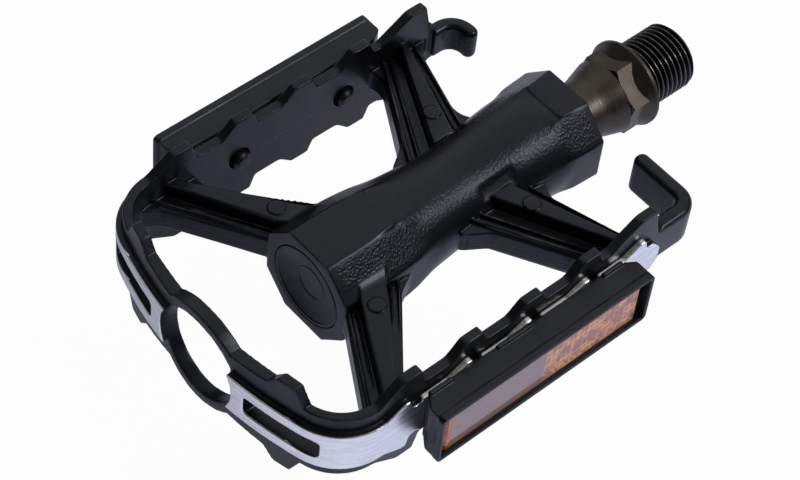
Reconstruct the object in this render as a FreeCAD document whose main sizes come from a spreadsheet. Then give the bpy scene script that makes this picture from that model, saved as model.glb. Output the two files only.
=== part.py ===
import FreeCAD, Part
import Sketcher
import math
import os
import re
from FreeCAD import Placement, Rotation, Vector

# Right-hand platform pedal in millimetres.
# The origin is on the spindle axis at the flange face that seats on the crank.
# Y runs along the spindle towards the crank, X is forward and Z is up.
# Stations named "at" are distances from the flange face into the pedal, along -Y.

doc = FreeCAD.newDocument("pedal")
sheet = doc.addObject("Spreadsheet::Sheet", "sizes")

size_rows = [
    ("thread_radius", 7.14, "9/16 inch pedal thread, major radius"),
    ("thread_length", 12.8, "thread beyond the flange face"),
    ("thread_chamfer", 0.9, "chamfer at the thread's free end"),
    ("flange_radius", 9.45, "round flange that seats on the crank"),
    ("flange_rim", 0.9, "straight rim of the flange"),
    ("flange_cone", 2.6, "length of the cone behind the flange"),
    ("hex_across", 15.0, "pedal spanner size across flats"),
    ("hex_at", 6.65, "inner end of the hexagon"),
    ("hex_turn", 10.7, "turn of a hexagon corner from straight up, degrees"),
    ("flare_radius", 8.1, "end of the flare at the hexagon"),
    ("neck_flare", 5.7, "length of the flare from neck to hexagon"),
    ("neck_radius", 6.6, "neck that runs in the seal"),
    ("shaft_room", 0.35, "radial room between the spindle and the inner balls"),
    ("shaft_tip_radius", 4.0, "spindle at the outer cone thread"),
    ("tip_thread_radius", 3.5, "outer thread for cone and nut"),
    ("tip_end_at", 80.6, "outer end of the spindle"),
    ("keyway_width", 2.0, "slot for the lock washer's tab"),
    ("keyway_depth", 0.8, "depth of that slot"),
    ("screw_fit", 0.05, "radial room in the outer thread"),
    ("ball_radius", 1.984, "5/32 inch bearing ball"),
    ("race_room", 0.06, "room between a ball and its race"),
    ("inner_pitch", 6.6, "pitch radius of the inner balls"),
    ("outer_pitch", 6.0, "pitch radius of the outer balls"),
    ("inner_count", 10, "inner balls"),
    ("outer_count", 9, "outer balls"),
    ("inner_ball_at", 25.0, "plane of the inner balls"),
    ("outer_ball_at", 66.0, "plane of the outer balls"),
    ("cup_wall", 0.75, "cup wall outside the balls"),
    ("cup_floor", 4.2, "cup length behind the ball plane"),
    ("cup_lip", 2.4, "cup length in front of the ball plane"),
    ("cone_length", 8.4, "outer cone from its tip to its back"),
    ("cone_radius", 6.2, "back of the outer cone"),
    ("washer_thick", 1.0, "lock washer"),
    ("washer_radius", 5.6, "lock washer"),
    ("nut_across", 10.0, "lock nut across flats"),
    ("nut_thick", 3.6, "lock nut"),
    ("seal_fit", 0.08, "radial room between seal lip and neck"),
    ("seal_length", 2.6, "inner seal"),
    ("seal_recess", 0.4, "seal face behind the barrel's crank end"),
    ("cap_radius", 8.95, "dust cap"),
    ("cap_fit", 0.05, "radial room round the dust cap"),
    ("cap_depth", 3.0, "dust cap skirt"),
    ("cap_rim", 0.7, "flat rim of the dust cap"),
    ("cap_dish", 1.5, "depth of the dust cap's dish"),
    ("cap_floor", 1.1, "floor of the dust cap"),
    ("barrel_in_at", 18.2, "crank end of the barrel"),
    ("barrel_out_at", 84.65, "outer end of the barrel"),
    ("barrel_half_wide", 11.35, "barrel end, half width"),
    ("barrel_half_high", 11.1, "barrel end, half height"),
    ("barrel_top_flat", 5.4, "half of the end's top flat"),
    ("barrel_side_flat", 4.95, "half of the end's side flat"),
    ("waist_at", 48.4, "narrowest place of the barrel"),
    ("waist_half", 9.25, "half width and half height of the waist"),
    ("pad_out_length", 17.3, "raised flat on the barrel's outer end"),
    ("pad_in_length", 7.0, "raised flat on the barrel's crank end"),
    ("pad_corner", 1.4, "corner radius of those flats"),
    ("waist_bore", 6.4, "cored bore through the waist"),
    ("plate_half_wide", 33.9, "outer face of the side plates"),
    ("wall_thick", 2.1, "cage wall"),
    ("end_wall_at", 110.45, "outermost point of the end wall"),
    ("keep_margin", 8.0, "reach of the cutting outlines beyond the end wall"),
    ("end_wall_thick", 2.9, "end wall at its middle"),
    ("end_bow_outer", 90.0, "bow radius of the end wall, outer face"),
    ("end_bow_inner", 120.0, "bow radius of the end wall, inner face"),
    ("corner_radius", 11.0, "outer corner radius of the cage"),
    ("tooth_pitch", 14.83, "pitch of the teeth"),
    ("tooth_first_at", 86.5, "crank-side edge of the outermost tooth"),
    ("tooth_top", 10.85, "height of the middle tooth"),
    ("tooth_swell", 0.33, "rise of the teeth towards both ends"),
    ("tooth_low", 8.0, "height between the teeth"),
    ("tooth_flat", 4.1, "length of a tooth's top"),
    ("tooth_slope", 3.3, "length of the rise to a tooth"),
    ("tooth_lean", 1.3, "lean of a tooth's steep side"),
    ("corner_height", 8.6, "height of the wall round the corners"),
    ("end_tooth_high", 12.8, "height of the end wall's teeth"),
    ("end_corner_in", 8.55, "plate's outer face to the foot of the end tooth"),
    ("end_tooth_slope", 2.05, "run of the end tooth's slope towards the corner"),
    ("end_tooth_wide", 3.7, "top of the end tooth"),
    ("end_tooth_rise", 2.3, "run of its slope towards the ring"),
    ("end_low_high", 10.1, "height at the foot of the end tooth"),
    ("ring_outer", 12.5, "outer radius of the ring"),
    ("ring_bore", 10.35, "ring hole at the outer face"),
    ("ring_bore_inner", 9.7, "ring hole at the inner face"),
    ("ring_valley", 9.2, "height beside the ring"),
    ("band_out", 1.3, "polished band, distance proud of the wall"),
    ("band_half", 5.0, "half height of the band"),
    ("band_peak", 7.0, "half height of the band under a tooth"),
    ("slot_from", 13.4, "slot window, edge towards the ring"),
    ("slot_in", 4.3, "plate's outer face to the slot window's far edge"),
    ("slot_half", 2.4, "slot window, half height"),
    ("hook_half", 4.8, "half height of the front hook"),
    ("hook_rear_half", 3.8, "half height of the rear hook"),
    ("hook_front_thick", 3.3, "thickness of the front hook"),
    ("hook_front_at", 13.3, "outside of the front hook's leg"),
    ("hook_front_reach", 16.6, "front hook's leg, from the plate's outer face to its tip"),
    ("hook_front_bend", 5.0, "outer bend radius of the front hook"),
    ("hook_rear_thick", 3.1, "thickness of the rear hook"),
    ("hook_rear_at", 16.7, "outside of the rear hook's leg"),
    ("hook_rear_reach", 7.9, "rear hook's leg, from the plate's outer face to its tip"),
    ("hook_rear_bend", 5.7, "outer bend radius of the rear hook"),
    ("hook_tip", 1.5, "corner radius of the hooks' tips"),
    ("hook_edge", 1.2, "rounding along the hooks' edges"),
    ("draft", 2.0, "draft of the arms' panels from the parting plane, degrees"),
    ("rib_draft", 6.0, "draft of the arms' ribs, degrees"),
    ("arm_half", 2.5, "half thickness of an arm's web"),
    ("arm_flare", 2.6, "flare of a web into the plate and the barrel"),
    ("rib_half", 3.6, "half height of an arm's ribs"),
    ("panel_half", 5.75, "half height of an arm's raised panel"),
    ("panel_sweep", 6.0, "concave radius from a panel up to the barrel"),
    ("boss_radius", 1.8, "round ejector boss on an arm"),
    ("boss_high", 0.3, "height of that boss"),
    ("stud_hole", 2.5, "stud holes in the side plates"),
    ("stud_radius", 2.0, "reflector stud"),
    ("stud_out", 1.5, "stud beyond the plate's inner face"),
    ("stud_spacing", 26.5, "distance between the two studs"),
    ("reflector_centre_at", 61.4, "middle of a reflector"),
    ("reflector_length", 53.5, "reflector, along the plate"),
    ("reflector_half_high", 6.7, "reflector, half height"),
    ("reflector_depth", 6.7, "reflector, from band to rim"),
    ("rim_depth", 1.5, "front frame of the housing"),
    ("rim_wall", 0.85, "wall of the front frame"),
    ("rim_step", 0.3, "step behind the front frame"),
    ("lens_thick", 2.2, "lens"),
    ("lens_recess", 1.0, "lens face behind the rim"),
    ("lens_bevel", 1.9, "sloped ends of the lens"),
    ("lens_fit", 0.05, "room round the lens"),
]
for row, (alias, value, note) in enumerate(size_rows, 1):
    sheet.set("A%d" % row, note)
    sheet.set("B%d" % row, str(value))
    sheet.setAlias("B%d" % row, alias)
doc.recompute()


def bound(text):
    """Writes an expression on plain size names as one on the sheet's cells."""
    return re.sub(r"\b(?!sqrt\b|tan\b|cos\b)[a-z]\w*", lambda word: "sizes." + word.group(0), text)


def size(text):
    """Value in millimetres of an expression on size names."""
    return float(sheet.evalExpression(bound(text)))


def turned(name, corners):
    """Body turned about Y from a profile of (station, radius) expressions."""
    body = doc.addObject("PartDesign::Body", name)
    sketch = body.newObject("Sketcher::SketchObject", name + "_profile")
    plane = [item for item in body.Origin.OriginFeatures if item.Role == "YZ_Plane"][0]
    sketch.AttachmentSupport = [(plane, "")]
    sketch.MapMode = "FlatFace"
    values = [(size(station), size(radius)) for station, radius in corners]
    count = len(corners)
    for index in range(count):
        here = Vector(values[index][0], values[index][1], 0)
        after = Vector(values[(index + 1) % count][0], values[(index + 1) % count][1], 0)
        sketch.addGeometry(Part.LineSegment(here, after))
    for index in range(count):
        sketch.addConstraint(Sketcher.Constraint("Coincident", index, 2, (index + 1) % count, 1))
    for index in range(count):
        for kind, axis, part in (("DistanceX", -2, 0), ("DistanceY", -1, 1)):
            value = values[index][part]
            if abs(value) < 1e-9:
                sketch.addConstraint(Sketcher.Constraint("PointOnObject", index, 1, axis))
            else:
                number = sketch.addConstraint(Sketcher.Constraint(kind, -1, 1, index, 1, value))
                sketch.setExpression("Constraints[%d]" % number, bound(corners[index][part]))
    doc.recompute()
    turn = body.newObject("PartDesign::Revolution", name + "_turn")
    turn.Profile = sketch
    turn.ReferenceAxis = (sketch, ["H_Axis"])
    turn.Angle = 360
    doc.recompute()
    return body


def rounded_loop(corners):
    """Closed outline of lines with an arc of radius r at each corner (x, y, r)."""
    count = len(corners)
    cuts = []
    for index in range(count):
        here = Vector(corners[index][0], corners[index][1], 0)
        before = Vector(corners[index - 1][0], corners[index - 1][1], 0)
        after = Vector(corners[(index + 1) % count][0], corners[(index + 1) % count][1], 0)
        radius = corners[index][2]
        if radius <= 0:
            cuts.append((here, None, here))
            continue
        back = (before - here).normalize()
        ahead = (after - here).normalize()
        half = back.getAngle(ahead) / 2
        setback = radius / math.tan(half)
        inward = (back + ahead).normalize()
        middle = here + inward * (radius / math.sin(half) - radius)
        cuts.append((here + back * setback, middle, here + ahead * setback))
    edges = []
    for index in range(count):
        start, middle, end = cuts[index]
        if middle is not None:
            edges.append(Part.Arc(start, middle, end))
        following = cuts[(index + 1) % count][0]
        if (following - end).Length > 1e-6:
            edges.append(Part.LineSegment(end, following))
    return edges


flat = Rotation()
facing_y = Rotation(Vector(1, 0, 0), 90)
facing_x = Rotation(Vector(1, 1, 1), 120)


def drawing(name, loops, turn, place):
    """Sketch with closed outlines on a plane that is turned and placed."""
    sketch = doc.addObject("Sketcher::SketchObject", name)
    sketch.Placement = Placement(place, turn)
    for loop in loops:
        sketch.addGeometry(loop)
    return sketch


def prism(name, loops, turn, place, direction, ahead, behind="0", draft=None):
    """Outlines pushed along a direction by bound lengths ahead and behind, drawn in by a draft."""
    solid = doc.addObject("Part::Extrusion", name)
    solid.Base = drawing(name + "_outline", loops, turn, place)
    solid.DirMode = "Custom"
    solid.Dir = direction
    solid.Solid = True
    solid.setExpression("LengthFwd", bound(ahead))
    solid.setExpression("LengthRev", bound(behind))
    if draft:
        solid.setExpression("TaperAngle", bound("-" + draft))
        solid.setExpression("TaperAngleRev", bound("-" + draft))
    doc.recompute()
    return solid


def softened(name, solid, radius):
    """A slab whose top and bottom edges are rounded."""
    rounding = doc.addObject("Part::Fillet", name)
    rounding.Base = solid
    top = solid.Shape.BoundBox.ZMax
    edges = []
    for number, edge in enumerate(solid.Shape.Edges, 1):
        box = edge.BoundBox
        if min(abs(box.ZMin - top), abs(box.ZMax + top)) < 1e-6:
            edges.append((number, size(radius), size(radius)))
    rounding.Edges = edges
    doc.recompute()
    return rounding


def slab(name, loops, half, draft=None):
    """Plan outlines made into a slab of a bound half height, with its faces drawn in both ways."""
    return prism(name, loops, flat, Vector(0, 0, 0), Vector(0, 0, 1), half, half, draft)


def joined(name, items):
    union = doc.addObject("Part::MultiFuse", name)
    union.Shapes = items
    union.Refine = True
    doc.recompute()
    return union


def shared(name, items):
    overlap = doc.addObject("Part::MultiCommon", name)
    overlap.Shapes = items
    doc.recompute()
    return overlap


def cut_from(name, base, tool):
    cut = doc.addObject("Part::Cut", name)
    cut.Base = base
    cut.Tool = tool
    doc.recompute()
    return cut


def mirrored(name, source, normal):
    copy = doc.addObject("Part::Mirroring", name)
    copy.Source = source
    copy.Normal = normal
    doc.recompute()
    return copy


def rod(name, radius, length, place, direction):
    """Cylinder with a bound radius and length."""
    solid = doc.addObject("Part::Cylinder", name)
    solid.setExpression("Radius", bound(radius))
    solid.setExpression("Height", bound(length))
    solid.Placement = Placement(place, Rotation(Vector(0, 0, 1), direction))
    doc.recompute()
    return solid


# Cage wall: a U-shaped strip in plan, cut to the tooth line seen from the side and the end.

plate = size("plate_half_wide")
wall = size("wall_thick")
crank_end = -size("tooth_first_at") + 4 * size("tooth_pitch") + size("tooth_lean") + 2.0


def cage_edge(half_wide, corner, bow, apex):
    """Arcs of one cage face: (straight end, corner middle, bow start) on +X, and the bow's middle."""
    bow_centre = apex + bow
    reach = half_wide - corner
    corner_y = bow_centre - math.sqrt((bow - corner) ** 2 - reach ** 2)
    aim = Vector(reach, corner_y - bow_centre, 0).normalize()
    middle_aim = (aim + Vector(1, 0, 0)).normalize()
    centre = Vector(reach, corner_y, 0)
    return (
        Vector(half_wide, corner_y, 0),
        centre + middle_aim * corner,
        centre + aim * corner,
        Vector(0, apex, 0),
    )


def across(point):
    return Vector(-point.x, point.y, 0)


def cage_strip(outer, inner, y_end):
    """Closed plan outline between two cage faces, open towards the crank."""
    edges = []
    for straight, middle, bow, apex in (outer, inner):
        edges.append(Part.LineSegment(Vector(straight.x, y_end, 0), straight))
        edges.append(Part.Arc(straight, middle, bow))
        edges.append(Part.Arc(bow, apex, across(bow)))
        edges.append(Part.Arc(across(bow), across(middle), across(straight)))
        edges.append(Part.LineSegment(across(straight), Vector(-straight.x, y_end, 0)))
    for side in (1, -1):
        start = Vector(side * outer[0].x, y_end, 0)
        end = Vector(side * inner[0].x, y_end, 0)
        edges.append(Part.LineSegment(start, end))
    return edges


end_wall = -size("end_wall_at")
outer_face = cage_edge(plate, size("corner_radius"), size("end_bow_outer"), end_wall)
inner_face = cage_edge(
    plate - wall,
    size("corner_radius") - wall,
    size("end_bow_inner"),
    end_wall + size("end_wall_thick"),
)
band_face = cage_edge(
    plate + size("band_out"),
    size("corner_radius") + size("band_out"),
    size("end_bow_outer") + size("band_out"),
    end_wall - size("band_out"),
)
band_root = cage_edge(
    plate - wall / 2,
    size("corner_radius") - wall / 2,
    size("end_bow_outer") - wall / 2,
    end_wall + wall / 2,
)

wall_strip = slab("wall_strip", [cage_strip(outer_face, inner_face, crank_end)], "ring_outer + 2")

far_out = end_wall - size("keep_margin")
tooth_edges = [-size("tooth_first_at") + step * size("tooth_pitch") for step in range(5)]
tooth_highs = [size("tooth_top") + size("tooth_swell") * (step - 2) ** 2 for step in range(5)]


def there_and_back(upper):
    """Closes an upper outline with its mirror image below."""
    lower = [(x, -z, r) for x, z, r in reversed(upper)]
    return rounded_loop(upper + lower)


# Side view of the teeth: low, rise, top and a steep step that faces the crank.
low = size("tooth_low")
flat_long = size("tooth_flat")
slope_long = size("tooth_slope")
lean = size("tooth_lean")
side_line = [(far_out, size("corner_height"), 0)]
for step in range(5):
    edge = tooth_edges[step]
    high = tooth_highs[step]
    foot = size("corner_height") if step == 0 else low
    rise = slope_long
    if step == 0:
        rise = slope_long + 2.4
    if step == 4:
        rise = slope_long + 4.4
    side_line.append((edge - flat_long - rise, foot, 2.4))
    side_line.append((edge - flat_long, high, 1.6))
    side_line.append((edge, high, 0.5))
    if step < 4:
        side_line.append((edge + lean, low, 0.6))
hook_half = size("hook_half")
side_line.append((tooth_edges[4] + lean + 0.4, hook_half - 0.4, 0.8))
side_line.append((crank_end, hook_half - 0.4, 0))

split = size("plate_half_wide - end_corner_in")
split_point = Vector(split, 0, 0)
forward = Vector(1, 0, 0)
side_loop = there_and_back(side_line)
side_keep = prism("side_keep", [side_loop], facing_x, split_point, forward, "plate_half_wide")
side_keep_rear = mirrored("side_keep_rear", side_keep, Vector(1, 0, 0))

# End view: the ring in the middle, then a tooth on each side of it.
ring = size("ring_outer")
valley = size("ring_valley")
valley_x = math.sqrt(ring ** 2 - valley ** 2)
tooth_to = split - size("end_tooth_slope")
tooth_from = tooth_to - size("end_tooth_wide")
end_points = [
    Vector(valley_x, valley, 0),
    Vector(tooth_from - size("end_tooth_rise"), size("end_low_high"), 0),
    Vector(tooth_from, size("end_tooth_high"), 0),
    Vector(tooth_to, size("end_tooth_high"), 0),
    Vector(split, size("corner_height"), 0),
]


def end_quarter(side, up):
    return [Vector(side * point.x, up * point.y, 0) for point in end_points]


end_edges = []
for up in (1, -1):
    right = end_quarter(1, up)
    left = end_quarter(-1, up)
    end_edges.append(Part.Arc(left[0], Vector(0, up * ring, 0), right[0]))
    for points in (right, left):
        for start, end in zip(points, points[1:]):
            end_edges.append(Part.LineSegment(start, end))
for side in (1, -1):
    end_edges.append(Part.LineSegment(end_quarter(side, 1)[-1], end_quarter(side, -1)[-1]))
end_point = Vector(0, far_out, 0)
crankward = Vector(0, 1, 0)
end_depth = "end_wall_at - barrel_out_at"
end_keep = prism("end_keep", [end_edges], facing_y, end_point, crankward, end_depth)

wall_keep = joined("wall_keep", [side_keep, end_keep, side_keep_rear])
cage_wall = shared("cage_wall", [wall_strip, wall_keep])

# Band round the cage at mid height, with a hump under each tooth.
band_strip = slab("band_strip", [cage_strip(band_face, band_root, crank_end)], "ring_outer")
band_half = size("band_half")
band_peak = size("band_peak")
band_line = [(far_out, band_half, 0)]
for step in range(5):
    edge = tooth_edges[step]
    band_line.append((edge - flat_long - slope_long - 1.5, band_half, 2.0))
    band_line.append((edge - flat_long - 0.4, band_peak, 0.8))
    band_line.append((edge - flat_long + 0.8, band_peak, 0.5))
    band_line.append((edge - flat_long + 1.5, band_half - 0.8, 0.9))
    band_line.append((edge - 0.6, band_half - 0.8, 0.9))
    if step < 4:
        band_line.append((edge - 0.2, band_half, 0))
band_line.append((tooth_edges[4] + lean, band_half - 3.2, 0))
band_loop = there_and_back(band_line)
band_side = prism("band_side", [band_loop], facing_x, split_point, forward, "plate_half_wide")
band_side_rear = mirrored("band_side_rear", band_side, Vector(1, 0, 0))
band_end_loop = rounded_loop(
    [(-split, -band_half, 0), (split, -band_half, 0), (split, band_half, 0), (-split, band_half, 0)]
)
band_end = prism("band_end", [band_end_loop], facing_y, end_point, crankward, end_depth)
band_keep = joined("band_keep", [band_side, band_end, band_side_rear])
band = shared("band", [band_strip, band_keep])

# Hooks at the crank end. The front one has a long leg and the rear one a short, round leg.
hook_root = crank_end - 1.0


def hook(name, side, half):
    """A bent bar from the plate's end towards the barrel, with its long edges rounded."""
    leg = -size(name + "_at")
    tip = plate - size(name + "_reach")
    bend = size(name + "_bend")
    thick = size(name + "_thick")
    corner = size("hook_tip")
    loop = rounded_loop(
        [
            (side * plate, hook_root, 0),
            (side * plate, leg, bend),
            (side * tip, leg, corner),
            (side * tip, leg - thick, corner),
            (side * (plate - thick), leg - thick, bend - thick),
            (side * (plate - thick), hook_root, 0),
        ]
    )
    bar = slab(name + "_bar", [loop], half)
    return softened(name, bar, "hook_edge")


front_hook = hook("hook_front", 1, "hook_half")
rear_hook = hook("hook_rear", -1, "hook_rear_half")

# Arms: a web, two ribs on each side and a raised panel that narrows towards the plate.
# An edge line is a station near the barrel and one near the plate, at these distances from the axis.
near_x = 12.0
far_x = 32.9
half_wide = size("barrel_half_wide")
half_high = size("barrel_half_high")
top_flat = size("barrel_top_flat")
side_flat = size("barrel_side_flat")
waist = size("waist_half")
arm_root = 8.0
arm_tip = plate - 1.0
outer_web = (85.05, 98.0, 71.3, 89.1)
outer_panel = (81.9, 93.75, 75.25, 91.2)
outer_ribs = [
    (84.65, 97.2, 83.6, 96.1),
    (82.9, 95.4, 81.9, 94.6),
    (74.6, 90.8, 73.6, 90.2),
    (72.8, 89.7, 71.7, 89.1),
]
inner_web = (50.4, 38.0, 35.3, 28.65)
inner_panel = (44.0, 33.4, 39.0, 31.6)
inner_ribs = [
    (50.0, 37.9, 48.4, 36.8),
    (47.8, 36.3, 46.4, 35.4),
    (38.3, 31.1, 37.3, 30.5),
    (36.7, 30.0, 35.6, 29.2),
]


def on_line(near, far, x):
    """Station of an edge line at a distance x from the axis."""
    return near + (far - near) * (x - near_x) / (far_x - near_x)


def arm_loop(side, lines):
    """Four-sided plan outline between two edge lines."""
    first_near, first_far, second_near, second_far = lines
    corners = [
        (side * arm_root, -on_line(first_near, first_far, arm_root), 0),
        (side * arm_root, -on_line(second_near, second_far, arm_root), 0),
        (side * arm_tip, -on_line(second_near, second_far, arm_tip), 0),
        (side * arm_tip, -on_line(first_near, first_far, arm_tip), 0),
    ]
    return rounded_loop(corners)


def web_loop(side, lines, barrel_flares):
    """Arm outline whose edges flare into the plate, and into the barrel where asked."""
    flare = size("arm_flare")
    barrel_x = half_wide - 0.6
    plate_x = plate - wall
    edges = []
    for near, far, outward, at_barrel in (
        (lines[0], lines[1], 1, barrel_flares[0]),
        (lines[2], lines[3], -1, barrel_flares[1]),
    ):
        points = []
        if at_barrel:
            points.append((arm_root, on_line(near, far, arm_root) + outward * (flare + 1.5), 0))
            points.append((barrel_x, on_line(near, far, barrel_x) + outward * flare, 0))
            points.append((barrel_x + flare, on_line(near, far, barrel_x + flare), 2 * flare))
        else:
            points.append((arm_root, on_line(near, far, arm_root), 0))
        points.append((plate_x - flare, on_line(near, far, plate_x - flare), 2 * flare))
        points.append((plate_x, on_line(near, far, plate_x) + outward * flare, 0))
        points.append((arm_tip, on_line(near, far, plate_x) + outward * flare, 0))
        edges.append([(side * x, -station, radius) for x, station, radius in points])
    return rounded_loop(edges[0] + edges[1][::-1])


def barrel_flats(pinch):
    """Half width, half height, half top flat and half side flat; pinch is 0 at an end, 1 at the waist."""
    wide = half_wide + (waist - half_wide) * pinch
    high = half_high + (waist - half_high) * pinch
    top = top_flat + (0.36 * waist - top_flat) * pinch
    side = side_flat + (0.40 * waist - side_flat) * pinch
    return wide, high, top, side


def sweep_loops(side, pinch):
    """Concave sections, above and below, between a panel and the barrel's sloped flat."""
    wide, high, top, edge = barrel_flats(pinch)
    panel_z = size("panel_half")
    lean_in = math.atan2(high - edge, wide - top)
    corner_x = wide - (panel_z - edge) / math.tan(lean_in)
    reach = size("panel_sweep") * math.tan(lean_in / 2)
    upper_x = corner_x - reach * math.cos(lean_in)
    upper_z = panel_z + reach * math.sin(lean_in)
    bulge = size("panel_sweep") * (1 - math.cos(lean_in / 2))
    middle_x = (corner_x + reach + upper_x) / 2 - bulge * math.sin(lean_in / 2)
    middle_z = (panel_z + upper_z) / 2 - bulge * math.cos(lean_in / 2)
    loops = []
    for up in (1, -1):
        panel_end = Vector(side * (corner_x + reach), up * panel_z, 0)
        middle = Vector(side * middle_x, up * middle_z, 0)
        barrel_end = Vector(side * upper_x, up * upper_z, 0)
        inside = Vector(side * upper_x, up * (panel_z - 1), 0)
        below = Vector(side * (corner_x + reach), up * (panel_z - 1), 0)
        loops.append(
            [
                Part.Arc(panel_end, middle, barrel_end),
                Part.LineSegment(barrel_end, inside),
                Part.LineSegment(inside, below),
                Part.LineSegment(below, panel_end),
            ]
        )
    return loops


arms = []
for kind, web, panel, ribs, barrel_flares, pinch in (
    ("outer", outer_web, outer_panel, outer_ribs, (False, True), 0.0),
    ("inner", inner_web, inner_panel, inner_ribs, (True, True), 0.85),
):
    for side_name, side in (("front", 1), ("rear", -1)):
        label = kind + "_" + side_name
        arms.append(slab("web_" + label, [web_loop(side, web, barrel_flares)], "arm_half"))
        for number, rib in enumerate(ribs):
            arms.append(slab("rib_%s_%d" % (label, number), [arm_loop(side, rib)], "rib_half", "rib_draft"))
        arms.append(slab("panel_" + label, [arm_loop(side, panel)], "panel_half", "draft"))
        column = slab("column_" + label, [arm_loop(side, panel)], "barrel_half_high", "draft")
        curves = sweep_loops(side, pinch)
        sweep = prism("sweep_" + label, curves, facing_y, end_point, crankward, "end_wall_at")
        arms.append(shared("root_" + label, [column, sweep]))
for kind, boss_x, boss_y in (("outer", 14.5, -80.0), ("inner", 14.4, -40.75)):
    for side_name, side in (("front", 1), ("rear", -1)):
        place = Vector(side * boss_x, boss_y, 0)
        name = "boss_" + kind + "_" + side_name
        arms.append(rod(name, "boss_radius", "panel_half + boss_high", place, Vector(0, 0, 1)))

# Barrel: eight-sided at both ends, drawn in to a rounded waist.
out_at = size("barrel_out_at")
in_at = size("barrel_in_at")
waist_at = size("waist_at")


def barrel_section(name, station, pinch, radius):
    """Eight-sided section with rounded corners."""
    wide, high, top, side = barrel_flats(pinch)
    corners = []
    for x, z in ((top, high), (wide, side), (wide, -side), (top, -high)):
        corners.append((x, z, radius))
    for x, z in ((-top, -high), (-wide, -side), (-wide, side), (-top, high)):
        corners.append((x, z, radius))
    return drawing(name, [rounded_loop(corners)], facing_y, Vector(0, -station, 0))


# Each step is a share of the way from an end to the waist, how far it is drawn in, and its corner radius.
out_steps = [
    (0.0, 0.0, 0.9),
    (0.22, 0.0, 0.9),
    (0.36, 0.06, 1.1),
    (0.5, 0.24, 1.7),
    (0.66, 0.48, 2.6),
    (0.8, 0.74, 3.5),
    (0.91, 0.94, 4.2),
    (1.0, 1.0, 4.4),
]
in_steps = [(0.88, 0.93, 4.2), (0.74, 0.75, 3.5), (0.6, 0.54, 2.6), (0.44, 0.34, 1.9), (0.27, 0.18, 1.3)]
in_steps += [(0.13, 0.08, 1.0), (0.0, 0.0, 0.9)]
sections = []
for step, (share, pinch, radius) in enumerate(out_steps):
    station = out_at + (waist_at - out_at) * share
    sections.append(barrel_section("section_out_%d" % step, station, pinch, radius))
for step, (share, pinch, radius) in enumerate(in_steps):
    station = in_at + (waist_at - in_at) * share
    sections.append(barrel_section("section_in_%d" % step, station, pinch, radius))
barrel = doc.addObject("Part::Loft", "barrel")
barrel.Sections = sections
barrel.Solid = True
barrel.Ruled = False
doc.recompute()


def pad(name, start, end):
    """Flat on top and below at a barrel end, which the drawn-in form drops away from."""
    corner = size("pad_corner")
    wide = top_flat - 0.25
    loop = rounded_loop(
        [(-wide, -start, 0), (wide, -start, 0), (wide, -end, corner), (-wide, -end, corner)]
    )
    return slab(name, [loop], "barrel_half_high")


pads = [
    pad("pad_out", out_at, out_at - size("pad_out_length")),
    pad("pad_in", in_at, in_at + size("pad_in_length")),
]

casting = joined("casting", [cage_wall, band, front_hook, rear_hook, barrel] + pads + arms)

# Openings of the casting: stepped bore, ring hole, slot windows and stud holes.
bearing_bore = turned(
    "bearing_bore",
    [
        ("-(barrel_in_at - 5)", "0"),
        ("-(barrel_in_at - 5)", "inner_pitch + ball_radius + race_room + cup_wall"),
        ("-(inner_ball_at + cup_floor)", "inner_pitch + ball_radius + race_room + cup_wall"),
        ("-(inner_ball_at + cup_floor)", "waist_bore"),
        ("-(outer_ball_at - cup_floor)", "waist_bore"),
        ("-(outer_ball_at - cup_floor)", "cap_radius + cap_fit"),
        ("-(barrel_out_at + 5)", "cap_radius + cap_fit"),
        ("-(barrel_out_at + 5)", "0"),
    ],
)
ring_hole = turned(
    "ring_hole",
    [
        ("-(end_wall_at + 4)", "0"),
        ("-(end_wall_at + 4)", "ring_bore"),
        ("-(end_wall_at + 0.4)", "ring_bore"),
        ("-(end_wall_at - end_wall_thick - 0.6)", "ring_bore_inner"),
        ("-(end_wall_at - end_wall_thick - 3)", "ring_bore_inner"),
        ("-(end_wall_at - end_wall_thick - 3)", "0"),
    ],
)
slot_half = size("slot_half")
slot_loops = []
for side in (1, -1):
    near = side * size("slot_from")
    far = side * size("plate_half_wide - slot_in")
    slot_corners = [
        (near, -slot_half, 1.0),
        (far, -slot_half, 1.2),
        (far, slot_half, 1.2),
        (near, slot_half, 1.0),
    ]
    slot_loops.append(rounded_loop(slot_corners))
slot_point = Vector(0, end_wall - 4, 0)
slots = prism("slots", slot_loops, facing_y, slot_point, crankward, "corner_radius + 5")
stud_stations = [-size("reflector_centre_at") + side * size("stud_spacing") / 2 for side in (-1, 1)]
cutters = [bearing_bore, ring_hole, slots]
for side_name, side in (("front", 1), ("rear", -1)):
    for number, station in enumerate(stud_stations):
        name = "stud_hole_%s_%d" % (side_name, number)
        place = Vector(side * (plate - wall - 0.5), station, 0)
        length = "wall_thick + band_out + 1.5"
        cutters.append(rod(name, "stud_hole", length, place, Vector(side, 0, 0)))
hollows = joined("hollows", cutters)
pedal_body = cut_from("pedal_body", casting, hollows)

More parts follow.
